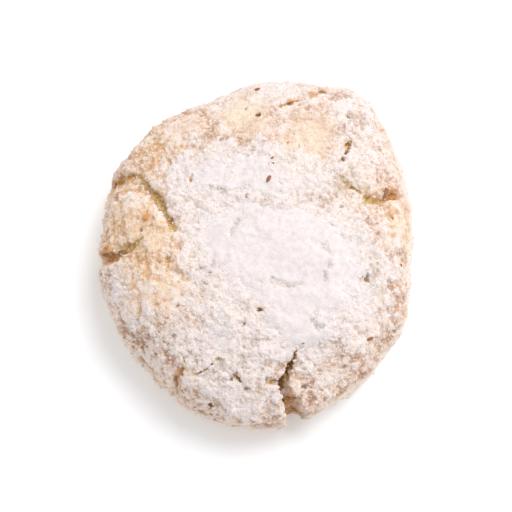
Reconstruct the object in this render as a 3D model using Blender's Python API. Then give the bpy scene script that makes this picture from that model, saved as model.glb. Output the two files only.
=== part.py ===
"""Crackled almond cookie that lies flat on its base: one baked solid, in metres, +Z up.

The origin is the middle of the flat base and +Y runs along the longer side. The crust is drawn
on the unrolled top: a spot's distance from the top's middle is measured along the surface, so
the same plan carries on over the shoulder and down the side.
"""

import math

import bpy
import numpy as np
from mathutils import Vector, noise

# Driving dimensions, in millimetres
WIDTH = 57.0
LENGTH = 66.0
HEIGHT = 21.0
RING_HEIGHT = 6.5  # height at which the side is widest
RING_RADIUS = 28.8  # of the plain round cookie, before its rim swells
TUCK = 4.0  # how far the side draws in from the ring to the base
SQUARENESS = 2.5  # of the crown's section: 2 is an ellipse, more is flatter on top

# Rim: direction in degrees from +X, how far it swells, and over how many degrees
SWELLS = (
    (36, 3.1, 13),
    (57, 4.4, 11),
    (80, 2.8, 11),
    (112, -0.9, 13),
    (145, 0.5, 12),
    (166, -1.2, 10),
    (272, 3.7, 23),
    (320, 2.3, 17),
)

# Cracks on the unrolled top, each from thin end to wide end: x, y, half width, depth
CRACKS = {
    "front": (
        (8.6, -21.8, 0.3, 0.3),
        (7.4, -25.6, 0.6, 1.0),
        (5.5, -28.8, 0.8, 1.7),
        (6.8, -32.6, 1.1, 2.5),
        (9.4, -38.1, 2.0, 3.4),
        (10.2, -44.0, 2.2, 2.0),
    ),
    "front_cross": (
        (-13.0, -25.8, 0.5, 0.5),
        (-9.0, -26.9, 0.5, 0.5),
        (-6.3, -26.0, 0.4, 0.3),
        (-3.0, -28.1, 0.5, 0.5),
        (0.8, -27.8, 0.4, 0.4),
        (4.8, -28.7, 0.5, 0.8),
    ),
    "front_left": (
        (-12.6, -23.6, 0.4, 0.4),
        (-13.8, -26.1, 0.6, 0.8),
        (-15.2, -28.6, 0.7, 1.0),
        (-19.3, -32.1, 0.7, 0.9),
        (-22.0, -35.4, 0.6, 0.5),
    ),
    "left_rim": (
        (-21.6, -3.5, 0.4, 0.4),
        (-24.2, -3.3, 0.8, 0.9),
        (-27.0, -5.1, 1.0, 1.5),
        (-31.3, -3.8, 1.3, 2.2),
        (-37.5, -2.8, 1.4, 1.2),
    ),
    "left_groove": (
        (-13.5, -1.8, 0.8, 0.3),
        (-14.9, 1.3, 1.5, 0.9),
        (-17.4, 5.0, 2.0, 1.2),
        (-20.8, 7.7, 2.3, 1.2),
        (-27.0, 11.0, 2.4, 1.2),
        (-30.5, 13.0, 2.2, 1.0),
    ),
    "right": (
        (14.3, 9.1, 0.5, 0.3),
        (18.6, 6.9, 0.8, 0.8),
        (22.6, 4.9, 1.0, 1.0),
        (26.0, 7.4, 1.1, 1.5),
        (29.2, 8.2, 1.2, 1.7),
        (31.8, 8.6, 0.8, 0.5),
    ),
    "upper_right": (
        (18.4, 16.1, 0.4, 0.4),
        (17.7, 13.8, 0.5, 0.7),
        (16.4, 12.2, 0.4, 0.4),
    ),
    "far_rim": (
        (3.5, 22.6, 0.4, 0.3),
        (6.4, 23.8, 0.7, 0.7),
        (9.5, 24.7, 0.8, 1.0),
        (12.4, 26.5, 0.7, 0.8),
        (15.2, 28.5, 0.6, 0.6),
        (17.6, 31.3, 0.5, 0.3),
    ),
    "round_the_knob": (
        (-15.6, -4.3, 0.6, 0.4),
        (-15.3, -8.1, 0.8, 0.6),
        (-13.0, -10.0, 0.9, 0.6),
        (-9.7, -9.5, 0.6, 0.3),
    ),
}

# Short cracks low on the side: direction in degrees from +X
SIDE_CRACKS = (18, 76, 112, 148, 207, 318)
SIDE_CRACK = ((35.5, 0.4, 0.2), (39.0, 1.0, 1.2), (44.0, 0.9, 0.8))  # from the top, width, depth

# Knobs and hollows of the crust on the unrolled top: x, y, radius, height
KNOBS = (
    (-24.3, 3.3, 5.0, 0.8),
    (-12.8, -6.4, 2.6, 0.6),
    (19.0, 24.0, 5.0, 0.4),
    (21.4, 11.6, 4.0, 0.5),
    (26.0, 1.0, 4.5, 0.4),
    (-4.0, -33.5, 6.0, 0.5),
    (13.5, -32.0, 4.5, 0.5),
    (-8.0, -19.8, 5.0, 0.3),
    (11.4, -17.9, 1.4, 0.4),
    (26.9, 7.8, 1.3, -0.8),
    (3.5, -3.5, 9.0, -0.3),
)

# The uneven crust: bump spacing and height, and how calm it is under the sugar in the middle
LUMP_SPACING = 11.0
LUMP_HEIGHT = 1.1
BLISTER_SPACING = 3.6
BLISTER_HEIGHT = 0.9
BLISTER_SINK = 0.2  # share of its height that a blister's foot lies below the body
CALM_SPOT = (5.0, -3.0)
CALM_RADIUS = 13.0
CALM_SHARE = 0.75
WARP_SPACING = 1.7  # what makes the cracks ragged
WARP = 0.5
LIP = 0.16  # height of a crack's lips, as a share of its depth
LIP_PLACE = 1.7  # how far out the lips are, in half widths of the crack
LIP_SPREAD = 0.6

FADE_HEIGHT = 2.0  # the crust's bumps fade out below this
FOOT_HEIGHT = 0.3  # what lies lower is pressed flat into the base

SPHERE_LEVEL = 8
BASE_SHARE = 0.06  # part of the sphere's area that goes to the flat base
SOFTENING = 5  # rounds of smoothing before the surface is thinned out
TRIANGLES = 10400

MM = 0.001
CRUST_COLOUR = (0.80, 0.66, 0.55, 1.0)


def meridian(steps=200):
    """Radius and height down the round cookie's side, from the top to the edge of the base."""
    quarter = np.linspace(0.0, math.pi / 2, steps)
    power = 2.0 / SQUARENESS
    crown_radius = RING_RADIUS * np.sin(quarter) ** power
    crown_height = RING_HEIGHT + (HEIGHT - RING_HEIGHT) * np.cos(quarter) ** power
    tuck_radius = RING_RADIUS - TUCK * (1.0 - np.cos(quarter[1:]))
    tuck_height = RING_HEIGHT * (1.0 - np.sin(quarter[1:]))
    radius = np.concatenate([crown_radius, tuck_radius])
    height = np.concatenate([crown_height, tuck_height])
    return radius, height


def swell(turn):
    """How many times wider than the round cookie the rim is in each direction, in degrees."""
    reach = np.zeros_like(turn)
    for middle, out, spread in SWELLS:
        away = (turn - middle + 180.0) % 360.0 - 180.0
        reach += out * np.exp(-0.5 * (away / spread) ** 2)
    return 1.0 + reach / RING_RADIUS


def lay_out(directions):
    """Places of a unit sphere's points on the smooth body, and their spots on the unrolled top.

    Equal shares of the sphere's area go to equal shares of the crust's.
    """
    radius, height = meridian()
    step = np.hypot(np.diff(radius), np.diff(height))
    run = np.concatenate([[0.0], np.cumsum(step)])
    ring_area = np.pi * (radius[1:] + radius[:-1]) * step
    area = np.concatenate([[0.0], np.cumsum(ring_area)])
    area /= area[-1]

    turn = np.degrees(np.arctan2(directions[:, 1], directions[:, 0]))
    wider = swell(turn)
    share = (1.0 - directions[:, 2]) / 2.0 / (1.0 - BASE_SHARE)
    down = np.interp(share, area, run)
    beside = np.interp(down, run, radius)
    under = share > 1.0
    inward = np.sqrt(np.clip((1.0 - share * (1.0 - BASE_SHARE)) / BASE_SHARE, 0.0, 1.0))
    beside[under] *= inward[under]

    ray = np.column_stack([np.cos(np.radians(turn)), np.sin(np.radians(turn))])
    ray *= wider[:, None]
    places = np.column_stack([ray * beside[:, None], np.interp(down, run, height)])
    places[under, 2] = 0.0
    return places, ray * down[:, None]


def sample_noise(points, spacing, shift):
    """Perlin noise at each point, one value a point; each shift gives another pattern."""
    offset = Vector((shift, -shift, 2.0 * shift))
    return np.array([noise.noise(Vector(point) / spacing + offset) for point in points])


def groove(spots, path):
    """Depth of a crack along a path: a rounded valley between two low lips."""
    nearest = np.full(len(spots), np.inf)
    width = np.ones(len(spots))
    depth = np.zeros(len(spots))
    for start, end in zip(path, path[1:]):
        start = np.array(start)
        change = np.array(end) - start
        along = (spots - start[:2]) @ change[:2] / (change[:2] @ change[:2])
        along = np.clip(along, 0.0, 1.0)
        gap = np.linalg.norm(spots - start[:2] - along[:, None] * change[:2], axis=1)
        closer = gap < nearest
        nearest = np.where(closer, gap, nearest)
        width = np.where(closer, start[2] + along * change[2], width)
        depth = np.where(closer, start[3] + along * change[3], depth)
    across = nearest / width
    inside = np.clip(across, 0.0, 1.0)
    valley = 1.0 - inside * inside * (3.0 - 2.0 * inside)
    lips = LIP * np.exp(-(((across - LIP_PLACE) / LIP_SPREAD) ** 2))
    return depth * (lips - valley)


def side_crack_paths():
    """The same short crack at each of its directions round the side."""
    for turn in SIDE_CRACKS:
        wider = swell(np.array([float(turn)]))[0]
        x = math.cos(math.radians(turn)) * wider
        y = math.sin(math.radians(turn)) * wider
        yield [(down * x, down * y, width, depth) for down, width, depth in SIDE_CRACK]


def crust_relief(places, spots):
    """How far the crust stands out from the smooth body at each point."""
    lumps = LUMP_HEIGHT * sample_noise(places, LUMP_SPACING, 3.1)
    bulge = np.abs(sample_noise(places, BLISTER_SPACING, 7.7))
    blisters = BLISTER_HEIGHT * (bulge - BLISTER_SINK)
    from_calm = np.linalg.norm(spots - np.array(CALM_SPOT), axis=1)
    rough = 1.0 - CALM_SHARE * np.exp(-((from_calm / CALM_RADIUS) ** 2))
    relief = lumps * (1.0 + rough) / 2.0 + blisters * rough

    for x, y, reach, height in KNOBS:
        away = np.linalg.norm(spots - np.array((x, y)), axis=1)
        relief += height * np.exp(-((away / reach) ** 2))

    warp = [sample_noise(places, WARP_SPACING, shift) for shift in (11.3, 17.9)]
    ragged = spots + WARP * np.column_stack(warp)
    for path in [*CRACKS.values(), *side_crack_paths()]:
        relief += groove(ragged, path)

    return relief * np.clip(places[:, 2] / FADE_HEIGHT, 0.0, 1.0)


def write_points(mesh, points):
    """Moves the mesh's points, given in millimetres, and refreshes its normals."""
    mesh.vertices.foreach_set("co", (points * MM).ravel())
    mesh.update()


def read_vectors(items, name):
    """One vector of each item, as an array with one row an item."""
    values = np.empty(len(items) * 3)
    items.foreach_get(name, values)
    return values.reshape(-1, 3)


def fit_to_size(points):
    """Sets the exact width, length and height, centred on the origin, on a truly flat base."""
    low, high = points.min(axis=0), points.max(axis=0)
    middle = (low + high) / 2.0
    middle[2] = 0.0
    fitted = (points - middle) / (high - low) * np.array((WIDTH, LENGTH, HEIGHT))
    fitted[fitted[:, 2] < FOOT_HEIGHT, 2] = 0.0
    return fitted


def crust_material():
    material = bpy.data.materials.new("baked_crust")
    material.use_nodes = True
    shader = material.node_tree.nodes["Principled BSDF"]
    shader.inputs["Base Color"].default_value = CRUST_COLOUR
    shader.inputs["Roughness"].default_value = 0.9
    shader.inputs["Metallic"].default_value = 0.0
    return material


def bake_cookie(collection):
    bpy.ops.mesh.primitive_ico_sphere_add(subdivisions=SPHERE_LEVEL, radius=1.0)
    cookie = bpy.context.object
    cookie.name = "cookie"
    mesh = cookie.data

    places, spots = lay_out(read_vectors(mesh.vertices, "co"))
    write_points(mesh, places)
    normals = read_vectors(mesh.vertex_normals, "vector")
    relief = crust_relief(places, spots)
    write_points(mesh, places + normals * relief[:, None])

    soften = cookie.modifiers.new("Soften", "SMOOTH")
    soften.factor = 0.5
    soften.iterations = SOFTENING
    bpy.ops.object.modifier_apply(modifier=soften.name)
    decimate = cookie.modifiers.new("Decimate", "DECIMATE")
    decimate.ratio = TRIANGLES / len(mesh.polygons)
    bpy.ops.object.modifier_apply(modifier=decimate.name)
    write_points(mesh, fit_to_size(read_vectors(mesh.vertices, "co") / MM))

    mesh.shade_smooth()
    mesh.materials.append(crust_material())
    for holder in cookie.users_collection:
        holder.objects.unlink(cookie)
    collection.objects.link(cookie)


def main():
    for item in list(bpy.data.objects):
        bpy.data.objects.remove(item, do_unlink=True)
    collection = bpy.data.collections.new("almond_cookie")
    bpy.context.scene.collection.children.link(collection)
    bake_cookie(collection)


main()
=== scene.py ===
import math

import bpy
import numpy as np
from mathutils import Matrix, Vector, noise
from mathutils.bvhtree import BVHTree
from mathutils.kdtree import KDTree


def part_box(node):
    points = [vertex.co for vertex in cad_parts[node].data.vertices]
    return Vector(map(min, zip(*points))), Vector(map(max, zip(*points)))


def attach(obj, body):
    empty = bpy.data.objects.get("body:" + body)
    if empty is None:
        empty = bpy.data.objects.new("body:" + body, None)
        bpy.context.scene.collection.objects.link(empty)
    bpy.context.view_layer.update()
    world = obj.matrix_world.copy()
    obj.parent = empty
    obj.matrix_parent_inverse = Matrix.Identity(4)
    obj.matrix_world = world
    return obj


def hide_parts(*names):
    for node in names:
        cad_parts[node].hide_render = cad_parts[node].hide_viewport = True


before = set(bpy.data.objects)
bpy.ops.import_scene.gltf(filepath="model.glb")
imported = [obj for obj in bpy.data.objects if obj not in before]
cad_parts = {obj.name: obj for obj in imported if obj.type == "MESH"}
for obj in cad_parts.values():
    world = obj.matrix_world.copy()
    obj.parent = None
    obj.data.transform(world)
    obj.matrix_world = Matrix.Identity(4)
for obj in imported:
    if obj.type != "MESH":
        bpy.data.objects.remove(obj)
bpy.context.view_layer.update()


# ---- Crust ---------------------------------------------------------------
# The cookie itself: one soft lump of almond dough that rose, cracked and set
# in the oven. It has the solid's own form, and gains the crumbly sugar-rolled
# skin, the torn insides of its cracks and the dry flat underside.

MM = 0.001
low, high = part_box("cookie")
MIDDLE = (low + high) / 2
HALF_WIDTH = (high.x - low.x) / 2
HALF_LENGTH = (high.y - low.y) / 2

SAME_POINT = 1e-6
SKIN_VOXEL = 0.23 * MM
SMOOTHING_BEFORE_TEARS = 6
SMOOTHING_AFTER_TEARS = 3
FORM_SMOOTHING = 420
CRUST_FACES = 188000
# How far below the smoothed form the mouth and the floor of a crack lie, in mm
CRACK_MOUTH = 0.45
CRACK_FLOOR = 1.1
# Where the top turns into the side, in shares of the halves, and how high up the side bulges most
RIM_REACH = 0.98
RING_HEIGHT = low.z + 0.31 * (high.z - low.z)
# How far off a line starts that strikes the top from above, or the side
CLEAR_ABOVE = 20 * MM
CLEAR_ASIDE = 100 * MM
# The grain of the skin, coarse to fine: kind, size and height
SKIN_GRAIN = (
    ("CLOUDS", 4.8 * MM, 0.6 * MM),
    ("CLOUDS", 2.8 * MM, 0.7 * MM),
    ("VORONOI", 2.1 * MM, -0.55 * MM),
    ("CLOUDS", 1.0 * MM, 0.75 * MM),
    ("VORONOI", 0.8 * MM, -0.45 * MM),
    ("CLOUDS", 0.42 * MM, 0.4 * MM),
)
# Hollows of the grain count no deeper than this for colours and crumbs, in mm
DEEPEST_HOLLOW = -0.34
# Tears in the skin, as the oven left them: across and along as shares of the
# halves, where more than 1 runs down the side; half width and depth in mm
TEARS = (
    ((0.25, -0.66, 0.1, 0.8), (0.23, -0.71, 0.2, 1.2), (0.20, -0.76, 0.28, 1.4),
     (0.16, -0.81, 0.4, 1.5), (0.17, -0.87, 0.5, 1.5), (0.23, -0.97, 0.75, 1.4),
     (0.27, -1.1, 0.9, 1.2), (0.27, -1.2, 0.9, 0.8)),
    ((-0.46, -0.765, 0.2, 0.7), (-0.38, -0.775, 0.2, 0.9), (-0.31, -0.76, 0.22, 1.0),
     (-0.23, -0.71, 0.16, 0.7)),
    ((-0.14, -0.785, 0.12, 1.2), (-0.09, -0.82, 0.14, 1.3)),
    ((0.0, -0.828, 0.12, 0.6), (0.06, -0.828, 0.15, 0.6), (0.14, -0.81, 0.2, 1.0)),
    ((-0.44, -0.688, 0.12, 0.5), (-0.44, -0.735, 0.18, 0.7), (-0.49, -0.772, 0.18, 0.7),
     (-0.50, -0.81, 0.14, 0.6), (-0.56, -0.835, 0.18, 0.5), (-0.61, -0.865, 0.14, 0.4)),
    ((-0.70, -0.04, 0.15, 0.4), (-0.76, -0.07, 0.3, 0.6), (-0.82, -0.10, 0.5, 0.8),
     (-0.88, -0.11, 0.5, 0.8), (-0.93, -0.08, 0.55, 0.8), (-1.0, -0.075, 0.6, 1.0),
     (-1.1, -0.07, 0.5, 0.8)),
    ((-0.92, 0.37, 0.4, 0.5), (-0.84, 0.37, 0.5, 0.6), (-0.74, 0.34, 0.45, 0.6),
     (-0.68, 0.27, 0.4, 0.65), (-0.61, 0.17, 0.45, 0.75), (-0.55, 0.07, 0.4, 0.8),
     (-0.50, -0.03, 0.3, 0.7)),
    ((0.50, 0.31, 0.1, 0.4), (0.56, 0.27, 0.15, 0.5), (0.63, 0.225, 0.2, 0.6),
     (0.69, 0.2, 0.28, 0.5), (0.77, 0.19, 0.36, 0.5), (0.83, 0.22, 0.45, 0.5),
     (0.88, 0.25, 0.4, 0.5)),
    ((0.60, 0.536, 0.12, 0.9), (0.575, 0.466, 0.13, 1.0), (0.54, 0.396, 0.16, 1.1)),
    ((0.15, 0.736, 0.2, 0.6), (0.25, 0.786, 0.3, 0.9), (0.34, 0.816, 0.3, 0.8), (0.42, 0.866, 0.3, 0.8),
     (0.48, 0.926, 0.25, 0.6)),
    ((-0.55, -0.154, 0.08, 0.3), (-0.55, -0.244, 0.1, 0.4), (-0.51, -0.294, 0.1, 0.4),
     (-0.45, -0.314, 0.08, 0.3)),
)
# Holes where steam broke out: across, along, half width and depth in mm
STEAM_HOLES = (
    (0.03, -0.464, 0.32, 1.2),
    (-0.28, -0.911, 0.32, 1.1),
    (0.01, 0.676, 0.28, 1.0),
    (-0.41, 0.286, 0.32, 1.0),
    (-0.71, 0.186, 0.28, 0.9),
    (0.87, 0.235, 0.16, 0.7),
)
# How many marks stand along each stretch of a tear, and how far off they are looked for
MARKS_A_STRETCH = 24
TEAR_SEARCH = 5 * MM
# The tears' ragged edges: how far they stray, over what length, and the noise's seed;
# tears thinner than the narrow one stray less
RAGGED_EDGES = ((0.6 * MM, 0.9 * MM, 31), (0.35 * MM, 2.2 * MM, 32))
NARROW_TEAR = 0.3 * MM
# How far inside a tear its middle line counts, and how much of that each half width aside takes off
MIDDLE_OF_TEAR = 1.7
TEAR_FALL_OFF = 0.9
# How many times its own width a tear's lips and the skin beside it reach
LIPS = 1.4
BESIDE = 3
# Fine pores at random: their reach in shares, half widths in mm, marks to a slit and their steps
PORES = 170
PORE_SEED = 12
PORE_REACH = 1.2
PORE_WIDTHS = (0.1, 0.2)
PORE_DEPTH_TO_WIDTH = 4
PORE_MARKS = 4
PORE_STEPS = (0.002, 0.008)
# Smooth bare patches: across, along, reach and how bare, as shares of the halves
BARE_PATCHES = (
    (0.35, 0.496, 0.18, 0.8),
    (-0.1, 0.666, 0.13, 0.75),
)
# Where the dough is golden, where it shows lemon yellow and where it is toasted, in the same terms
WARM_PATCHES = (
    (-0.75, 0.07, 0.35, 1.0),
    (-0.5, 0.57, 0.3, 0.6),
    (0.95, 0.07, 0.2, 0.8),
    (-0.6, -0.3, 0.24, 0.9),
)
LEMON_PATCHES = (
    (-0.1, 0.666, 0.13, 0.7),
    (0.54, 0.31, 0.11, 0.6),
    (0.68, 0.2, 0.13, 0.8),
    (-0.66, 0.23, 0.08, 0.5),
    (-0.52, 0.02, 0.06, 0.5),
    (-0.86, -0.1, 0.08, 0.6),
    (-0.45, -0.08, 0.2, 0.25),
    (0.22, -0.73, 0.06, 0.5),
    (0.26, -0.84, 0.1, 0.3),
    (-0.6, -0.86, 0.08, 0.5),
)
TOASTED_PATCHES = (
    (-0.68, 0.066, 0.035, 0.8),
    (-0.87, 0.356, 0.05, 1.0),
    (-0.78, 0.346, 0.03, 0.9),
    (-0.92, 0.296, 0.03, 0.7),
    (-0.97, -0.084, 0.05, 1.2),
    (-0.80, -0.074, 0.03, 0.6),
    (-0.90, -0.1, 0.05, 0.8),
    (0.83, 0.236, 0.05, 0.65),
    (0.87, 0.276, 0.045, 0.75),
    (0.77, -0.31, 0.04, 0.5),
    (0.20, -0.87, 0.035, 0.7),
    (0.24, -0.93, 0.06, 0.8),
    (0.74, 0.196, 0.05, 0.5),
    (0.88, 0.136, 0.03, 0.8),
    (-0.45, -0.732, 0.04, 0.6),
    (-0.49, -0.776, 0.04, 0.6),
    (-0.38, -0.767, 0.04, 0.55),
    (-0.61, -0.837, 0.04, 0.6),
    (0.22, 0.766, 0.03, 1.0),
    (0.36, 0.826, 0.04, 0.9),
    (0.43, 0.876, 0.04, 0.7),
    (-0.16, 0.616, 0.04, 0.6),
    (0.18, 0.526, 0.04, 0.4),
    (0.57, 0.486, 0.03, 0.8),
    (0.62, 0.716, 0.06, 0.4),
    (0.86, -0.344, 0.04, 0.5),
    (-0.15, -0.741, 0.02, 0.6),
)


def pick(piece):
    """Makes one piece the only selected and active one."""
    bpy.ops.object.select_all(action="DESELECT")
    piece.select_set(True)
    bpy.context.view_layer.objects.active = piece


def shape(piece, kind, **settings):
    """Adds a modifier to a piece and applies it."""
    pick(piece)
    bpy.ops.object.modifier_add(type=kind)
    modifier = piece.modifiers[-1]
    for name, value in settings.items():
        setattr(modifier, name, value)
    bpy.ops.object.modifier_apply(modifier=modifier.name)


def copy_of_the_solid(name):
    """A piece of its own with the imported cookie's form, its points joined up."""
    piece = bpy.data.objects.new(name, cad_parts["cookie"].data.copy())
    bpy.context.scene.collection.objects.link(piece)
    piece.data.materials.clear()
    pick(piece)
    bpy.ops.object.mode_set(mode="EDIT")
    bpy.ops.mesh.select_all(action="SELECT")
    bpy.ops.mesh.remove_doubles(threshold=SAME_POINT)
    bpy.ops.object.mode_set(mode="OBJECT")
    return piece


def points(piece):
    spots = np.empty(len(piece.data.vertices) * 3, np.float32)
    piece.data.vertices.foreach_get("co", spots)
    return spots.reshape(-1, 3).astype(float)


def outward(piece):
    directions = np.empty(len(piece.data.vertices) * 3, np.float32)
    piece.data.vertex_normals.foreach_get("vector", directions)
    return directions.reshape(-1, 3).astype(float)


def move_points(piece, spots):
    piece.data.vertices.foreach_set("co", spots.astype(np.float32).ravel())
    piece.data.update()


def settle(piece):
    """Presses flat what reaches below the table."""
    spots = points(piece)
    spots[:, 2] = np.maximum(spots[:, 2], low.z)
    move_points(piece, spots)


def store(piece, name, amounts):
    """Keeps one number a point on the piece, for its material to read."""
    held = piece.data.attributes.new(name, "FLOAT", "POINT")
    held.data.foreach_set("value", amounts.astype(np.float32))


def stored(piece, name):
    held = piece.data.attributes[name]
    amounts = np.empty(len(piece.data.vertices), np.float32)
    held.data.foreach_get("value", amounts)
    return amounts.astype(float)


def ramp(amounts, start, end):
    """0 before start, 1 after end, with a soft turn at both."""
    share = np.clip((amounts - start) / (end - start), 0, 1)
    return share * share * (3 - 2 * share)


def grain(spots, size, seed=0):
    """Soft noise at each point, from about -1 to 1."""
    shift = Vector((seed * 7.3, seed * -3.1, seed * 5.7))
    return np.array([noise.noise(Vector(p) + shift) for p in spots / size])


def plan(spots):
    """Where points lie seen from above, as shares of the half width and length."""
    across = (spots[:, 0] - MIDDLE.x) / HALF_WIDTH
    along = (spots[:, 1] - MIDDLE.y) / HALF_LENGTH
    return across, along


def spread(spots, patches):
    """The summed strength of soft round patches at each point."""
    across, along = plan(spots)
    total = np.zeros(len(spots))
    for x, y, reach, strength in patches:
        total += strength * np.exp(-(((across - x) ** 2 + (along - y) ** 2) / reach**2))
    return total


WEIGHT_STEPS = 60


def weigh(piece, name, amounts):
    """A vertex group with these weights, in steps fine enough not to show."""
    group = piece.vertex_groups.new(name=name)
    steps = np.round(np.clip(amounts, 0, 1) * WEIGHT_STEPS).astype(int)
    for step in range(1, WEIGHT_STEPS + 1):
        group.add(np.nonzero(steps == step)[0].tolist(), step / WEIGHT_STEPS, "REPLACE")


def roughen(piece, kind, size, height, group):
    """Raises and sinks the skin by a pattern of this grain size."""
    pattern = bpy.data.textures.new(f"{piece.name}_{kind.lower()}", kind)
    pattern.noise_scale = size
    if kind == "CLOUDS":
        pattern.noise_depth = 2
    shape(
        piece,
        "DISPLACE",
        texture=pattern,
        texture_coords="LOCAL",
        strength=height,
        mid_level=0.5,
        vertex_group=group,
    )


def skin_of(piece):
    """A piece's surface, ready to be struck by straight lines."""
    faces = [p.vertices for p in piece.data.polygons]
    return BVHTree.FromPolygons([v.co for v in piece.data.vertices], faces)


def on_the_skin(struck, across, along):
    """The place and outward direction of the skin there; past the edge it lies on the side."""
    reach = math.hypot(across, along)
    x, y = across * HALF_WIDTH, along * HALF_LENGTH
    if reach < RIM_REACH:
        start = Vector((MIDDLE.x + x, MIDDLE.y + y, high.z + CLEAR_ABOVE))
        aim = Vector((0, 0, -1))
    else:
        drop = (reach - RIM_REACH) * HALF_WIDTH
        out = Vector((x, y, 0)).normalized()
        start = Vector((MIDDLE.x, MIDDLE.y, RING_HEIGHT - drop)) + out * CLEAR_ASIDE
        aim = -out
    return struck.ray_cast(start, aim)[:2]


def tear_marks(struck):
    """Every tear and steam hole as close-set marks: place, direction, half width and depth."""
    marks = []
    for route in TEARS:
        for first, second in zip(route, route[1:]):
            for step in range(MARKS_A_STRETCH + 1):
                share = step / MARKS_A_STRETCH
                across, along, wide, deep = (a + (b - a) * share for a, b in zip(first, second))
                marks.append((*on_the_skin(struck, across, along), wide * MM, deep * MM))
    for across, along, wide, deep in STEAM_HOLES:
        marks.append((*on_the_skin(struck, across, along), wide * MM, deep * MM))
    return [mark for mark in marks if mark[0] is not None]


def pore_marks(struck):
    """Small pores at random places, each a short slit."""
    chance = np.random.default_rng(PORE_SEED)
    marks = []
    for _ in range(PORES):
        turn = chance.uniform(0, math.tau)
        reach = PORE_REACH * math.sqrt(chance.uniform(0, 1))
        across, along = reach * math.cos(turn), reach * math.sin(turn)
        wide = chance.uniform(*PORE_WIDTHS)
        slant = chance.uniform(0, math.tau)
        for step in range(PORE_MARKS):
            far = step * chance.uniform(*PORE_STEPS)
            spot = (across + far * math.cos(slant), along + far * math.sin(slant))
            place, out = on_the_skin(struck, *spot)
            if place is not None:
                marks.append((place, out, wide * MM, wide * PORE_DEPTH_TO_WIDTH * MM))
    return marks


def torn_at(spots, marks, reach=1.0):
    """How far inside a tear each point lies, from 0 to 1, and how deep the tear is there."""
    tree = KDTree(len(marks))
    for index, mark in enumerate(marks):
        tree.insert(mark[0], index)
    tree.balance()
    ragged = sum(stray * grain(spots, length, seed) for stray, length, seed in RAGGED_EDGES)
    inside = np.zeros(len(spots))
    depth = np.zeros(len(spots))
    for index, spot in enumerate(spots):
        place, nearest, gap = tree.find(spot)
        if gap > TEAR_SEARCH:
            continue
        _, out, wide, deep = marks[nearest]
        away = Vector(spot) - place
        aside = (away - out * away.dot(out)).length + ragged[index] * min(1, wide / NARROW_TEAR)
        inside[index] = min(1, max(0, MIDDLE_OF_TEAR - TEAR_FALL_OFF * aside / (wide * reach)))
        depth[index] = deep
    return inside, depth


def smoothed(piece, iterations):
    """Where the piece's points come to lie when its skin is smoothed, and which way they face."""
    form = piece.copy()
    form.data = piece.data.copy()
    bpy.context.scene.collection.objects.link(form)
    shape(form, "SMOOTH", iterations=iterations, factor=0.5)
    found = points(form), outward(form), skin_of(form)
    bpy.data.objects.remove(form)
    return found


crust = copy_of_the_solid("crust")
shape(crust, "REMESH", mode="VOXEL", voxel_size=SKIN_VOXEL)
shape(crust, "SMOOTH", iterations=SMOOTHING_BEFORE_TEARS, factor=0.5)
_, _, struck = smoothed(crust, FORM_SMOOTHING)
tears = tear_marks(struck)
pores = pore_marks(struck)
whole = points(crust)
inside, depth = torn_at(whole, tears)
pitted, pit_depth = torn_at(whole, pores)
off_the_table = ramp(whole[:, 2] - low.z, 0.1 * MM, 1.2 * MM)
cut = (inside * depth + pitted * pit_depth) * off_the_table
move_points(crust, whole - outward(crust) * cut[:, None])
shape(crust, "REMESH", mode="VOXEL", voxel_size=SKIN_VOXEL)
shape(crust, "SMOOTH", iterations=SMOOTHING_AFTER_TEARS, factor=0.5)
skin = points(crust)
skin_out = outward(crust)
inside, depth = torn_at(skin, tears, LIPS)
beside, _ = torn_at(skin, tears, BESIDE)
pitted, _ = torn_at(skin, pores)
form_points, form_out, _ = smoothed(crust, FORM_SMOOTHING)
sunk = np.einsum("ij,ij->i", form_points - skin, form_out) / MM


def foot_band(spots, up):
    """Where the pale foot of the dough shows, past the far tear and down the right side."""
    across, along = plan(spots)
    turn = np.degrees(np.arctan2(along, across))
    frayed = 0.02 * grain(spots, 2 * MM, 41)
    far = ramp(along - 0.5 * across + frayed, 0.70, 0.74)
    far *= ramp(across, -0.25, 0.05) * ramp(-across, -0.62, -0.5)
    turn = turn + 14 * grain(spots, 6 * MM, 42) + 8 * grain(spots, 2 * MM, 43)
    up = up + 0.16 * grain(spots, 4 * MM, 44)
    edge = 0.22 + 0.28 * ramp(turn, -40, 10)
    side = ramp(edge - up + frayed * 4, 0.0, 0.25)
    side *= ramp(turn, -82, -62) * ramp(-turn, -130, -80)
    return np.clip(0.6 * far + side, 0, 1)


height = skin[:, 2] - low.z
over_foot = ramp(height, 0.1 * MM, 1.6 * MM) * (0.45 + 0.55 * ramp(height, 2.5 * MM, 7 * MM))
bare = np.clip(spread(skin, BARE_PATCHES), 0, 1)
foot = foot_band(skin, form_out[:, 2])
rough = over_foot * (1 - 0.7 * bare) * (1 - 0.5 * foot) * (1 - 0.1 * inside)
rough *= 0.75 + 0.5 * grain(skin, 5 * MM, 3)
weigh(crust, "grain", rough)
for kind, size, lift in SKIN_GRAIN:
    roughen(crust, kind, size, lift, "grain")
relief = np.einsum("ij,ij->i", points(crust) - skin, skin_out) / MM
relief = np.maximum(relief - relief[over_foot > 0.9].mean(), DEEPEST_HOLLOW)
store(crust, "sunk", sunk)
tear = np.maximum(inside * ramp(sunk, 0.0, 0.3), beside * ramp(sunk, 0.3, 0.7))
store(crust, "tear", np.maximum(tear, ramp(sunk, CRACK_MOUTH, CRACK_FLOOR)))
store(crust, "foot", foot)
store(crust, "depth", inside * depth / MM)
store(crust, "pore", pitted * ramp(sunk, -0.1, 0.5))
store(crust, "relief", relief)
store(crust, "up", form_out[:, 2])
faces = sum(len(p.vertices) - 2 for p in crust.data.polygons)
shape(crust, "DECIMATE", ratio=min(1, CRUST_FACES / faces), use_collapse_triangulate=True)
bpy.ops.object.shade_smooth()
settle(crust)

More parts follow.
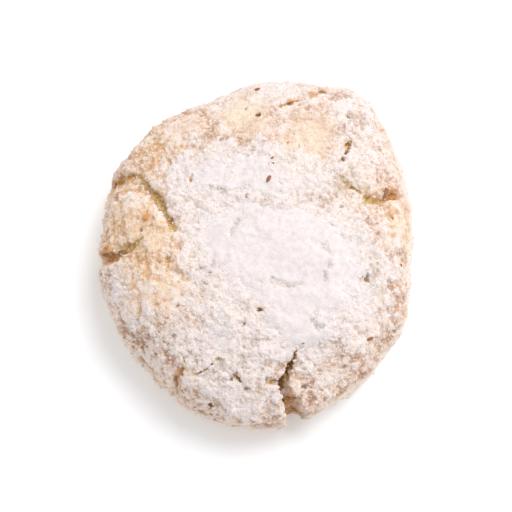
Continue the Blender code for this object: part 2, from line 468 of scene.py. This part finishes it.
# Where icing sugar lies thick: across, along, reach across, reach along, amount
DRIFTS = (
    (0.18, 0.88, 0.25, 0.1, 0.35),
    (0.08, -0.054, 0.50, 0.20, 0.9),
    (0.30, -0.284, 0.32, 0.24, 0.9),
    (0.28, -0.544, 0.19, 0.16, 0.8),
    (0.70, -0.254, 0.24, 0.25, 0.3),
    (-0.30, 0.286, 0.34, 0.20, 0.55),
    (0.15, 0.296, 0.45, 0.16, 0.5),
    (-0.22, -0.334, 0.30, 0.20, 0.4),
    (-0.20, -0.633, 0.32, 0.19, 0.4),
    (-0.14, -0.93, 0.22, 0.13, 0.4),
    (-0.90, -0.27, 0.13, 0.13, 0.35),
    (0.62, -0.58, 0.22, 0.2, 0.12),
    (-0.75, -0.55, 0.2, 0.14, 0.25),
    (0.62, 0.586, 0.2, 0.3, 0.2),
)
# Where it was brushed off again, in the same terms
WIPED = (
    (0.88, 0.0, 0.15, 0.3, 0.2),
    (0.35, 0.516, 0.18, 0.15, 0.55),
    (-0.72, 0.016, 0.24, 0.26, 0.28),
    (-0.55, 0.516, 0.3, 0.25, 0.2),
    (-0.05, 0.666, 0.14, 0.11, 0.6),
    (0.36, 0.17, 0.14, 0.05, 0.12),
    (-0.02, 0.17, 0.16, 0.04, 0.25),
    (-0.55, -0.28, 0.2, 0.16, 0.24),
    (-0.50, -0.46, 0.2, 0.18, 0.15),
)
FALLEN_EVERYWHERE = 0.5
# The share of it that upright sides hold, what facing up adds, and how steep a heap's edge is
LEFT_ON_THE_SIDE = 0.35
MORE_ON_TOP = 0.75
HEAP_EDGE = 1.6
# How the drifts' edges stray: how far, over what length, and the seeds across and along
DRIFT_STRAYS = ((0.06, 5 * MM, 11, 13), (0.03, 1.7 * MM, 12, 14))
# Creases in the drift, as routes across and along the cookie in shares of the halves
CREASES = (
    ((-0.30, 0.22), (-0.20, 0.20), (-0.12, 0.20)),
    ((-0.06, 0.19), (0.0, 0.15), (0.06, 0.12), (0.19, 0.11)),
    ((0.26, 0.13), (0.36, 0.16), (0.50, 0.18)),
    ((0.30, 0.25), (0.34, 0.21)),
    ((0.42, -0.11), (0.46, -0.17), (0.44, -0.22)),
    ((0.41, -0.27), (0.42, -0.31)),
    ((0.50, -0.03), (0.57, -0.06)),
    ((-0.36, -0.31), (-0.27, -0.27)),
    ((-0.27, -0.21), (-0.22, -0.26)),
    ((0.36, -0.48), (0.33, -0.53), (0.38, -0.56), (0.44, -0.52)),
    ((0.10, -0.30), (0.20, -0.34), (0.27, -0.32)),
    ((-0.12, 0.02), (-0.16, -0.06)),
)
# How wide a crease reaches, how far and over what length it strays, and how long it holds on
CREASE_REACH = 0.5 * MM
CREASE_STRAY = 0.35 * MM
CREASE_WANDER = 1.2 * MM
CREASE_STRETCH = 0.9 * MM


def sugar_at(spots, up):
    """How much icing sugar lies at each point."""
    across, along = plan(spots)
    for stray, length, seed_across, seed_along in DRIFT_STRAYS:
        across = across + stray * grain(spots, length, seed_across)
        along = along + stray * grain(spots, length, seed_along)
    total = np.full(len(spots), FALLEN_EVERYWHERE)
    for heaps, sign in ((DRIFTS, 1), (WIPED, -1)):
        for x, y, wide, long, amount in heaps:
            out = ((across - x) / wide) ** 2 + ((along - y) / long) ** 2
            total += sign * amount * np.exp(-(out**HEAP_EDGE))
    return total * np.clip(LEFT_ON_THE_SIDE + MORE_ON_TOP * up, 0, 1)


def creased_at(spots):
    """How near each point lies to a crease in the drift, from 0 to 1."""
    halves = np.array([HALF_WIDTH, HALF_LENGTH])
    at = np.stack(plan(spots), 1) * halves
    at += CREASE_STRAY * np.stack([grain(spots, CREASE_WANDER, seed) for seed in (51, 52)], 1)
    gap = np.full(len(spots), np.inf)
    for route in CREASES:
        for first, second in zip(route, route[1:]):
            start = np.array(first) * halves
            run = np.array(second) * halves - start
            share = np.clip((at - start) @ run / (run @ run), 0, 1)
            gap = np.minimum(gap, np.linalg.norm(at - start - share[:, None] * run, axis=1))
    return np.exp(-((gap / CREASE_REACH) ** 2))


skin = points(crust)
crust_sugar = sugar_at(skin, stored(crust, "up"))
broken = ramp(grain(skin, CREASE_STRETCH, 53), -0.4, 0.3)
store(crust, "sugar", crust_sugar)
# The crease mask is kept for the crust's painted grey shade along the creases
store(crust, "crease", creased_at(skin) ** 2 * broken)
store(crust, "bare", np.clip(spread(skin, BARE_PATCHES), 0, 1))
store(crust, "warm", np.clip(spread(skin, WARM_PATCHES), 0, 1))
store(crust, "lemon", np.clip(spread(skin, LEMON_PATCHES), 0, 1))
store(crust, "toasted", np.clip(spread(skin, TOASTED_PATCHES), 0, 1.2))
store(crust, "height", (skin[:, 2] - low.z) / (high.z - low.z))


def colour(red, green, blue):
    """A colour given in 0 to 255 screen values, as the shaders want it."""
    return (*[((c / 255 + 0.055) / 1.055) ** 2.4 for c in (red, green, blue)], 1.0)


def socket_of(sockets, key):
    """The socket with this number, name or identifier."""
    if isinstance(key, int):
        return sockets[key]
    return next(s for s in sockets if key in (s.identifier, s.name))


class Value:
    """A number that varies over a surface; sums on it add Math nodes."""

    def __init__(self, finish, socket):
        self.finish = finish
        self.socket = socket

    def sum_of(self, operation, first, second):
        return self.finish.node("ShaderNodeMath", {"operation": operation}, {0: first, 1: second})

    def __add__(self, other):
        return self.sum_of("ADD", self, other)

    def __sub__(self, other):
        return self.sum_of("SUBTRACT", self, other)

    def __rsub__(self, other):
        return self.sum_of("SUBTRACT", other, self)

    def __mul__(self, other):
        return self.sum_of("MULTIPLY", self, other)

    __radd__ = __add__
    __rmul__ = __mul__


class Finish:
    """One material, built up from patterns, blends and a single shader."""

    def __init__(self, name, **same_all_over):
        self.material = bpy.data.materials.new(name)
        self.material.use_nodes = True
        self.tree = self.material.node_tree
        self.shader = self.tree.nodes["Principled BSDF"]
        for key, value in same_all_over.items():
            socket_of(self.shader.inputs, key.replace("_", " ")).default_value = value
        self.place = self.node("ShaderNodeTexCoord", {}, {}, "Object")

    def node(self, kind, settings, inputs, output=0):
        made = self.tree.nodes.new(kind)
        for key, value in settings.items():
            setattr(made, key, value)
        for key, value in inputs.items():
            self.feed(socket_of(made.inputs, key), value)
        return Value(self, socket_of(made.outputs, output))

    def feed(self, socket, value):
        if isinstance(value, Value):
            self.tree.links.new(value.socket, socket)
        else:
            socket.default_value = value

    def read(self, name):
        """A number stored on the piece's points."""
        return self.node("ShaderNodeAttribute", {"attribute_name": name}, {}, "Fac")

    def speckle(self, size, detail=2.0, roughness=0.5):
        """Soft noise of this grain size, from 0 to 1 about a half."""
        inputs = {"Vector": self.place, "Scale": 1 / size, "Detail": detail, "Roughness": roughness}
        return self.node("ShaderNodeTexNoise", {}, inputs, "Fac")

    def fade(self, value, start, end):
        """0 at start, 1 at end, with a soft turn at both."""
        inputs = {"Value": value, "From Min": start, "From Max": end}
        return self.node("ShaderNodeMapRange", {"interpolation_type": "SMOOTHSTEP"}, inputs)

    def blend(self, share, first, second):
        inputs = {"Factor_Float": share, "A_Color": first, "B_Color": second}
        return self.node("ShaderNodeMix", {"data_type": "RGBA"}, inputs, "Result_Color")

    def bump(self, height, distance, strength=1.0):
        inputs = {"Height": height, "Distance": distance, "Strength": strength}
        return self.node("ShaderNodeBump", {}, inputs)

    def wear(self, **inputs):
        """Feeds what varies over the surface to the shader."""
        for key, value in inputs.items():
            self.feed(socket_of(self.shader.inputs, key.replace("_", " ")), value)


# Colours of the crust: each pair goes from the hollows to the tops, or from dark to pale
ROSY_DOUGH = (colour(190, 150, 126), colour(236, 212, 192))
GOLDEN_DOUGH = (colour(216, 172, 130), colour(243, 217, 188))
SMOOTH_DOUGH = (colour(234, 214, 192), colour(242, 227, 210))
LEMON_DOUGH = (colour(212, 190, 152), colour(243, 231, 208))
PALE_FOOT = (colour(243, 228, 213), colour(250, 241, 231))
BROWNED_BASE = (colour(188, 138, 90), colour(216, 172, 124))
# Grey-beige dough under thick sugar: partly the sugar film on it, partly painted shade between the
# powder clumps
DUSTED_AND_SHADED_DOUGH = colour(202, 188, 174)
# The thin powder's grey end is painted shade, laid in the hollows between the white powdered tops
SHADED_THIN_POWDER = (colour(207, 194, 184), colour(241, 231, 229))
# Painted shade: the grey laid along the drift's creases
CREASE_SHADE_GREY = colour(172, 160, 150)
TOASTED_SKIN = (colour(184, 130, 84), colour(222, 180, 136))
PORE_SHADE = colour(150, 122, 96)
SHALLOW_TEAR = (colour(176, 138, 86), colour(226, 198, 150))
# The deep tear and tear bottom colours are darker partly for the torn crumb's browning and partly as
# painted shade in the depth
DEEPER_SHADED_TEAR = (colour(146, 102, 68), colour(192, 150, 110))
TOASTED_TEAR = (colour(172, 114, 62), colour(230, 184, 124))
BROWN_SHADED_TEAR_BOTTOM = colour(92, 58, 34)


def crust_finish():
    """Baked dough, powdered skin and torn crumb, laid over each other in that order."""
    skin = Finish(
        "baked_almond_crust",
        Subsurface_Weight=0.2,
        Subsurface_Radius=(1.0, 0.55, 0.3),
        Subsurface_Scale=0.6 * MM,
        Specular_IOR_Level=0.2,
    )
    relief = skin.read("relief")
    sunk = skin.read("sunk")
    sugar = skin.read("sugar")
    foot = skin.read("foot")
    depth = skin.read("depth")
    fine = skin.speckle(0.6 * MM, 3.0, 0.65)
    finer = skin.speckle(0.3 * MM, 2.0, 0.6)
    blotch = skin.speckle(2.2 * MM, 3.0, 0.6)
    broad = skin.speckle(5 * MM, 3.0)
    tops = relief * 1.2 + (fine - 0.5) * 1.1

    dough = skin.blend(skin.fade(tops, -0.45, 0.25), *ROSY_DOUGH)
    golden = skin.blend(skin.fade(tops, -0.45, 0.25), *GOLDEN_DOUGH)
    baked_edge = skin.fade(skin.read("height"), 0.3, 0.02)
    warm = skin.fade(skin.read("warm") + baked_edge * 0.6 + (broad - 0.5) * 1.2, 0.25, 0.75)
    dough = skin.blend(warm, dough, golden)
    smooth = skin.blend(skin.fade(fine, 0.3, 0.7), *SMOOTH_DOUGH)
    dough = skin.blend(skin.read("bare") * 0.8, dough, smooth)
    lemon = skin.fade(skin.read("lemon") + (fine - 0.5) * 0.6, 0.15, 0.8)
    yellow = skin.blend(skin.fade(tops, -0.4, 0.2), *LEMON_DOUGH)
    dough = skin.blend(lemon * 0.6, dough, yellow)
    dough = skin.blend(foot * 0.9, dough, skin.blend(fine, *PALE_FOOT))
    base = skin.blend(skin.fade(blotch + (fine - 0.5) * 0.5, 0.35, 0.65), *BROWNED_BASE)
    dough = skin.blend(skin.fade(skin.read("up"), -0.6, -0.95), dough, base)
    # Where sugar lies thick the dough turns grey-beige: a film of sugar and painted shade between the
    # powder clumps
    dough = skin.blend(skin.fade(sugar, 0.45, 0.95) * 0.7, dough, DUSTED_AND_SHADED_DOUGH)

    # Thin powder over the skin: white on the tops, with painted grey shade in its hollows
    powder = skin.blend(skin.fade(tops + (finer - 0.5) * 0.5, -0.6, 0.15), *SHADED_THIN_POWDER)
    dusting = sugar * 1.1 - skin.fade(sunk, 0.15, 0.7) * 0.8 - foot * 0.1 - lemon * 0.25
    patchy = (blotch - 0.5) * 1.25 + (broad - 0.5) * 0.5
    cover = skin.fade(tops * 0.8 + dusting + (finer - 0.5) * 0.6 + patchy, 0.1, 0.95)
    dusted = skin.blend(cover, dough, powder)
    # Painted shade: grey specks along the creases, where shade falls in them
    crease_shade = skin.fade(skin.read("crease") * 0.9 + (finer - 0.5) * 2.0, 0.4, 0.9)
    dusted = skin.blend(crease_shade * 0.6, dusted, CREASE_SHADE_GREY)
    toasted = skin.fade(skin.read("toasted") + (fine - 0.5) * 1.2, 0.3, 0.8)
    dusted = skin.blend(toasted * 0.85, dusted, skin.blend(fine, *TOASTED_SKIN))
    dusted = skin.blend(skin.read("pore") * 0.75, dusted, PORE_SHADE)

    crumbly = skin.fade(fine, 0.35, 0.65)
    shallow = skin.blend(crumbly, *SHALLOW_TEAR)
    torn = skin.blend(crumbly, *DEEPER_SHADED_TEAR)
    # Deeper tears get darker, the deepest dark brown: the crumb's own brown and painted shade in the
    # depth
    inside = skin.blend(skin.fade(depth + (fine - 0.5) * 0.4, 0.7, 1.2), shallow, torn)
    browned = skin.blend(skin.fade(fine, 0.3, 0.7), *TOASTED_TEAR)
    inside = skin.blend(toasted, inside, browned)
    deepest_shade = skin.fade(depth + sunk * 0.5 + (fine - 0.5) * 0.5, 1.3, 2.1)
    inside = skin.blend(deepest_shade, inside, BROWN_SHADED_TEAR_BOTTOM)
    opened = skin.fade(skin.read("tear") + (fine - 0.5) * 0.9, 0.1, 0.55)
    skin.wear(
        Base_Color=skin.blend(opened, dusted, inside),
        Roughness=skin.fade(cover, -1, 2) * 0.3 + 0.6,
        Normal=skin.bump(fine * 0.7 + finer * 0.5, 0.3 * MM, 0.9),
    )
    return skin.material


crust.data.materials.append(crust_finish())
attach(crust, "root")
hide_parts("cookie")


# ---- Icing sugar -----------------------------------------------------------
# Icing sugar sifted over the cookie: a thick soft drift lies over the middle,
# fills the skin's creases and thins out until only the crumbs' tops are white.

SUGAR_VOXEL = 0.3 * MM
SUGAR_SMOOTHING = 14
# How high the sugar lies over the bare form in a full drift, how low where there is none,
# and from how low it is cut away
SUGAR_THICK = 0.5 * MM
SUGAR_UNDER = -0.75 * MM
SUGAR_CUT = SUGAR_UNDER * 0.6
SUGAR_SHELL = 0.35 * MM
# The amounts of sugar at which a drift starts and is full
DRIFT_STARTS = 0.45
DRIFT_FULL = 1.55
CREASE_DEPTH = 0.75 * MM
# Over a tear the drift sinks by this many times the tear's depth
SUNK_IN_TEARS = 1.1
# How often its pinched points are trimmed, and how few faces a scrap has that is left out
TRIMMINGS = 3
SMALLEST_FLAKE = 16
DRIFT_WHITE = (colour(223, 215, 215), colour(235, 228, 228))
# Painted shade: the grey of the small shadow specks in the drift
DRIFT_SHADE_SPECKS = colour(176, 166, 154)


def cut_away(piece, gone):
    """Deletes the marked points of a piece and the faces on them."""
    pick(piece)
    bpy.ops.object.mode_set(mode="EDIT")
    bpy.ops.mesh.select_all(action="DESELECT")
    bpy.ops.object.mode_set(mode="OBJECT")
    piece.data.vertices.foreach_set("select", gone)
    bpy.ops.object.mode_set(mode="EDIT")
    bpy.ops.mesh.delete(type="VERT")
    bpy.ops.object.mode_set(mode="OBJECT")


def pinched(piece):
    """The points where an open sheet hangs together by a single point."""
    ends = np.empty(len(piece.data.edges) * 2, np.int32)
    piece.data.edges.foreach_get("vertices", ends)
    used = np.empty(len(piece.data.loops), np.int32)
    piece.data.loops.foreach_get("edge_index", used)
    rim = np.bincount(used, minlength=len(piece.data.edges)) == 1
    return np.bincount(ends.reshape(-1, 2)[rim].ravel(), minlength=len(piece.data.vertices)) > 2


def lies_under(spot, struck):
    """Whether a point lies on the inner side of a struck skin."""
    place, out = struck.find_nearest(spot)[:2]
    return (spot - place).dot(out) < 0


def without_flakes(piece):
    """The piece without its loose scraps that are tiny or lie wholly under the crust."""
    name = piece.name
    struck = skin_of(crust)
    pick(piece)
    bpy.ops.mesh.separate(type="LOOSE")
    for part in list(bpy.context.selected_objects):
        tiny = len(part.data.polygons) < SMALLEST_FLAKE
        if tiny or all(lies_under(v.co, struck) for v in part.data.vertices):
            bpy.data.objects.remove(part)
    kept = bpy.context.selected_objects
    bpy.context.view_layer.objects.active = max(kept, key=lambda part: len(part.data.polygons))
    bpy.ops.object.join()
    whole = bpy.context.object
    whole.name = name
    return whole


def sugar_finish():
    powder = Finish(
        "icing_sugar",
        Subsurface_Weight=0.3,
        Subsurface_Radius=(1.0, 0.9, 0.85),
        Subsurface_Scale=0.5 * MM,
        Specular_IOR_Level=0.15,
    )
    fine = powder.speckle(0.35 * MM, 3.0, 0.6)
    clumps = powder.speckle(1.1 * MM, 3.0, 0.6)
    damp = powder.fade(clumps + (fine - 0.5) * 0.6, 0.3, 0.7)
    white = powder.blend(damp, *DRIFT_WHITE)
    # Painted shade: grey specks, more where the drift thins and along its creases
    shaded = powder.read("thin") * 0.2 + powder.read("crease") * 0.3
    shade_specks = powder.fade(powder.speckle(0.5 * MM, 2.0, 0.6) + shaded, 0.66, 0.82)
    powder.wear(
        Base_Color=powder.blend(shade_specks * 0.7, white, DRIFT_SHADE_SPECKS),
        Roughness=powder.fade(fine, 0, 1) * 0.2 + 0.75,
        Normal=powder.bump(fine * 0.6 + clumps, 0.25 * MM, 0.7),
    )
    return powder.material


sugar = copy_of_the_solid("icing_sugar")
shape(sugar, "REMESH", mode="VOXEL", voxel_size=SUGAR_VOXEL)
shape(sugar, "SMOOTH", iterations=SUGAR_SMOOTHING, factor=0.5)
bed = points(sugar)
bed_out = outward(sugar)
full = ramp(sugar_at(bed, bed_out[:, 2]), DRIFT_STARTS, DRIFT_FULL)
lumpy = 3.0 - 2.3 * full
mounds = 0.3 * grain(bed, 5 * MM, 24) + 0.22 * grain(bed, 2.8 * MM, 21)
mounds += lumpy * (0.16 * grain(bed, 1.2 * MM, 22) + 0.09 * grain(bed, 0.6 * MM, 23))
thick = SUGAR_UNDER + (SUGAR_THICK - SUGAR_UNDER) * full + mounds * MM
inside, depth = torn_at(bed, tears)
thick -= SUNK_IN_TEARS * inside * depth
crease = creased_at(bed) * ramp(grain(bed, CREASE_STRETCH, 53), -0.5, 0.2)
thick -= CREASE_DEPTH * crease
# Both kept for the drift's painted grey shade specks
store(sugar, "crease", crease)
store(sugar, "thin", 1 - full)
move_points(sugar, bed + bed_out * thick[:, None])
cut_away(sugar, thick < SUGAR_CUT)
for _ in range(TRIMMINGS):
    cut_away(sugar, pinched(sugar))
sugar = without_flakes(sugar)
shape(sugar, "SOLIDIFY", thickness=SUGAR_SHELL, offset=-1)
bpy.ops.object.shade_smooth()
settle(sugar)
sugar.data.materials.append(sugar_finish())
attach(sugar, "root")


# ---- Sugar grains and crumbs -------------------------------------------------
# Loose clumped grains of icing sugar and specks of dry dough that cling to the
# skin. A few knobbly balls of each kind are squashed, turned and strewn over the
# crust, half sunk in, as one mesh a kind.

SEED = 5
GRAIN_SHAPES = 6
SUGAR_GRAINS = 9400
SUGAR_GRAIN_SIZES = (0.2 * MM, 0.5 * MM)
SUGAR_GRAIN_SUNK = 0.55
SUGAR_GRAIN_COLOURS = (colour(234, 217, 206), colour(241, 230, 228))
CRUMBS = 2200
CRUMB_SIZES = (0.3 * MM, 0.75 * MM)
CRUMB_SUNK = 0.6
CRUMB_COLOURS = (colour(222, 202, 184), colour(238, 224, 210))
draw = np.random.default_rng(SEED)


def lone_grain():
    """A small ball of few faces, which the strewing squashes and turns."""
    bpy.ops.mesh.primitive_ico_sphere_add(subdivisions=1, radius=1)
    grain_piece = bpy.context.object
    corners = points(grain_piece)
    corners *= draw.uniform(0.75, 1.25, (len(corners), 1))
    faces = np.array([p.vertices[:] for p in grain_piece.data.polygons])
    bpy.data.objects.remove(grain_piece)
    return corners, faces


def turned(count):
    """Random rotations, one matrix for each grain."""
    q = draw.normal(size=(count, 4))
    w, x, y, z = (q / np.linalg.norm(q, axis=1)[:, None]).T
    rows = [
        [1 - 2 * (y * y + z * z), 2 * (x * y - w * z), 2 * (x * z + w * y)],
        [2 * (x * y + w * z), 1 - 2 * (x * x + z * z), 2 * (y * z - w * x)],
        [2 * (x * z - w * y), 2 * (y * z + w * x), 1 - 2 * (x * x + y * y)],
    ]
    return np.transpose(np.array(rows), (2, 0, 1))


def ground(piece):
    """The triangles of a piece: their points, corners, outward directions and areas."""
    piece.data.calc_loop_triangles()
    corners = np.empty(len(piece.data.loop_triangles) * 3, np.int32)
    piece.data.loop_triangles.foreach_get("vertices", corners)
    corners = corners.reshape(-1, 3)
    spots = points(piece)[corners]
    cross = np.cross(spots[:, 1] - spots[:, 0], spots[:, 2] - spots[:, 0])
    area = np.linalg.norm(cross, axis=1) / 2
    return corners, spots, cross / (2 * area + 1e-20)[:, None], area


def strew(name, piece, share, count, sizes, sunk):
    """One mesh of grains spread over a piece, more of them where share is high."""
    corners, spots, normals, area = ground(piece)
    smallest, largest = sizes
    chance = area * np.clip(share[corners].mean(1), 0, None)
    chosen = draw.choice(len(area), size=count, p=chance / chance.sum())
    mix = draw.dirichlet((1, 1, 1), count)
    at = np.einsum("ij,ijk->ik", mix, spots[chosen])
    size = smallest + (largest - smallest) * draw.power(0.45, count)
    at += normals[chosen] * (size * (0.5 - sunk))[:, None]
    shapes = [lone_grain() for _ in range(GRAIN_SHAPES)]
    kind = draw.integers(0, len(shapes), count)
    squash = draw.uniform(0.65, 1.2, (count, 3)) * (size / 2)[:, None]
    turns = turned(count)
    all_spots = []
    all_faces = []
    start = 0
    for index, (ball, faces) in enumerate(shapes):
        mine = np.nonzero(kind == index)[0]
        placed = np.einsum("nij,nkj->nki", turns[mine], ball[None] * squash[mine][:, None, :])
        placed += at[mine][:, None, :]
        all_spots.append(placed.reshape(-1, 3))
        step = start + np.arange(len(mine)) * len(ball)
        all_faces.append((faces[None] + step[:, None, None]).reshape(-1, 3))
        start += len(mine) * len(ball)
    mesh = bpy.data.meshes.new(name)
    mesh.from_pydata(np.concatenate(all_spots), [], np.concatenate(all_faces))
    strewn = bpy.data.objects.new(name, mesh)
    bpy.context.scene.collection.objects.link(strewn)
    settle(strewn)
    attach(strewn, "root")
    return strewn


def grain_finish(name, colours):
    """A dry dull finish whose tint drifts from grain to grain."""
    bit = Finish(name, Specular_IOR_Level=0.15)
    tint = bit.fade(bit.speckle(1.1 * MM, 2.0), 0.35, 0.65)
    bit.wear(Base_Color=bit.blend(tint, *colours), Roughness=tint * 0.2 + 0.7)
    return bit.material


sound_skin = 1 - 0.8 * ramp(stored(crust, "tear"), 0.1, 0.4)
sound_skin *= 1 - 0.9 * np.clip(stored(crust, "toasted") * 1.3, 0, 1)
above = ramp(points(crust)[:, 2] - low.z, 0.5 * MM, 2.5 * MM)
caught = np.clip(0.6 + 1.2 * stored(crust, "relief"), 0.1, 1.6)
dusting = np.clip(crust_sugar, 0.1, 0.9) * sound_skin * above * caught
sugar_grains = strew(
    "sugar_grains", crust, dusting, SUGAR_GRAINS, SUGAR_GRAIN_SIZES, SUGAR_GRAIN_SUNK
)
sugar_grains.data.materials.append(grain_finish("sugar_grain", SUGAR_GRAIN_COLOURS))

crumbling = np.clip(1.1 - crust_sugar, 0.05, 1) * above * (1 - 0.7 * stored(crust, "bare"))
crumbling *= 0.3 + 0.7 * sound_skin
crumbs = strew("dough_crumbs", crust, crumbling, CRUMBS, CRUMB_SIZES, CRUMB_SUNK)
crumbs.data.materials.append(grain_finish("dough_crumb", CRUMB_COLOURS))


# ---- Almond skin flecks ------------------------------------------------------
# Flecks of brown almond skin from the ground nuts, and one bead of sugar that
# caramelised, each pressed half way into the crust.

# Across and along in shares, then length and width in mm, turn in degrees and darkness
FLECKS = (
    (0.08, 0.266, 1.7, 0.7, 72, 0.8),
    (0.70, -0.574, 1.4, 0.65, 12, 0.75),
    (-0.68, 0.066, 1.4, 1.1, 30, 0.0),
    (0.82, 0.276, 1.0, 0.5, 150, 0.4),
    (0.88, 0.25, 0.9, 0.5, 110, 0.25),
    (0.01, 0.866, 1.1, 0.6, 20, 0.8),
    (0.22, 0.766, 1.6, 0.45, 25, 0.9),
    (0.57, 0.456, 1.0, 0.4, 60, 0.8),
    (0.85, 0.096, 0.9, 0.5, 100, 0.45),
    (0.90, -0.154, 0.8, 0.5, 80, 0.5),
    (-0.93, -0.054, 1.1, 0.7, 10, 0.4),
    (0.10, 0.386, 0.8, 0.35, 45, 0.6),
)
# More flecks at random: their number, reach in shares, and lengths and relative widths
SMALL_FLECKS = 12
SMALL_FLECK_REACH = 1.15
SMALL_FLECK_LENGTHS = (0.35, 0.7)
SMALL_FLECK_WIDTHS = (0.4, 0.8)
FLECK_THICKNESS = 0.6
CARAMEL = (colour(200, 124, 60), colour(230, 166, 100))
ALMOND_SKIN = (colour(92, 54, 40), colour(156, 106, 86))


def fleck_finish():
    fleck = Finish("almond_skin", Specular_IOR_Level=0.35)
    darkness = fleck.read("darkness")
    mottled = fleck.speckle(0.25 * MM, 2.0)
    amber = fleck.blend(mottled, *CARAMEL)
    brown = fleck.blend(mottled, *ALMOND_SKIN)
    fleck.wear(
        Base_Color=fleck.blend(darkness, amber, brown),
        Roughness=mottled * 0.3 + 0.4,
        Normal=fleck.bump(mottled, 0.1 * MM),
    )
    return fleck.material


surfaces = (skin_of(crust), skin_of(sugar))
heart = Vector((MIDDLE.x, MIDDLE.y, low.z))
rows = list(FLECKS)
for _ in range(SMALL_FLECKS):
    round_to = draw.uniform(0, math.tau)
    reach = SMALL_FLECK_REACH * math.sqrt(draw.uniform(0.1, 1))
    long = draw.uniform(*SMALL_FLECK_LENGTHS)
    wide = long * draw.uniform(*SMALL_FLECK_WIDTHS)
    turn = draw.uniform(0, 180)
    darkness = draw.uniform(0.4, 1)
    rows.append((reach * math.cos(round_to), reach * math.sin(round_to), long, wide, turn, darkness))
made = []
for across, along, long, wide, turn, darkness in rows:
    found = [on_the_skin(surface, across, along) for surface in surfaces]
    found = [(place, out) for place, out in found if place is not None]
    place, out = max(found, key=lambda pair: (pair[0] - heart).length)
    bpy.ops.mesh.primitive_ico_sphere_add(subdivisions=2, radius=1)
    fleck = bpy.context.object
    spots = points(fleck)
    spots *= 1 + 0.25 * grain(spots, 0.8, len(made))[:, None]
    spots *= np.array([long / 2, wide / 2, min(FLECK_THICKNESS / 2, wide / 2)]) * MM
    heading = Vector((math.cos(math.radians(turn)), math.sin(math.radians(turn)), 0))
    sideways = out.cross(heading).normalized()
    heading = sideways.cross(out)
    move_points(fleck, spots @ np.array([heading, sideways, out]) + np.array(place))
    settle(fleck)
    store(fleck, "darkness", np.full(len(spots), darkness))
    made.append(fleck)
bpy.ops.object.select_all(action="DESELECT")
for fleck in made:
    fleck.select_set(True)
bpy.ops.object.join()
flecks = bpy.context.object
flecks.name = "almond_skin_flecks"
bpy.ops.object.shade_smooth()
flecks.data.materials.append(fleck_finish())
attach(flecks, "root")


# ---- Table, light and camera ----------------------------------------------
# A plain pale table top under soft studio light from the upper right, seen
# from above at a slant.

TABLE_WIDTH = 3.0
TABLE_GLOW = 0.15
TABLE_COLOURS = (colour(240, 244, 248), colour(243, 247, 250))
SKY_COLOUR = (1.0, 0.985, 0.98, 1)
SKY_STRENGTH = 0.72
LIGHT_PLACE = (0.32, 0.26, 0.76)
LIGHT_SIZE = 0.6
LIGHT_POWER = 5
LIGHT_COLOUR = (1.0, 0.97, 0.95)
LOOK_DOWN = math.radians(70)
CAMERA_DISTANCE = 0.42
FORWARD_IN_VIEW = 2.0 * MM
LENS = 165
NEAREST_SEEN = 0.01
FURTHEST_SEEN = 10

bpy.ops.mesh.primitive_plane_add(size=TABLE_WIDTH, location=(MIDDLE.x, MIDDLE.y, low.z))
table = bpy.context.object
table.name = "table"
top = Finish("pale_table", Roughness=0.6, Specular_IOR_Level=0.2)
top.wear(Base_Color=top.blend(top.speckle(20 * MM), *TABLE_COLOURS))
socket_of(top.shader.inputs, "Emission Color").default_value = (1, 1, 1, 1)
socket_of(top.shader.inputs, "Emission Strength").default_value = TABLE_GLOW
table.data.materials.append(top.material)

world = bpy.data.worlds.new("studio")
bpy.context.scene.world = world
world.use_nodes = True
sky = world.node_tree.nodes["Background"].inputs
sky["Color"].default_value = SKY_COLOUR
sky["Strength"].default_value = SKY_STRENGTH

bpy.ops.object.light_add(type="AREA", location=LIGHT_PLACE)
light = bpy.context.object
light.data.shape = "DISK"
light.data.size = LIGHT_SIZE
light.data.energy = LIGHT_POWER
light.data.color = LIGHT_COLOUR
light.rotation_euler = (MIDDLE - light.location).to_track_quat("-Z", "Y").to_euler()

bpy.ops.object.camera_add()
camera = bpy.context.object
away = Vector((0, -math.cos(LOOK_DOWN), math.sin(LOOK_DOWN)))
camera.location = MIDDLE + away * CAMERA_DISTANCE - Vector((0, FORWARD_IN_VIEW, 0))
camera.rotation_euler = (math.pi / 2 - LOOK_DOWN, 0, 0)
camera.data.lens = LENS
camera.data.clip_start = NEAREST_SEEN
camera.data.clip_end = FURTHEST_SEEN
bpy.context.scene.camera = camera
bpy.context.scene.view_settings.view_transform = "Standard"
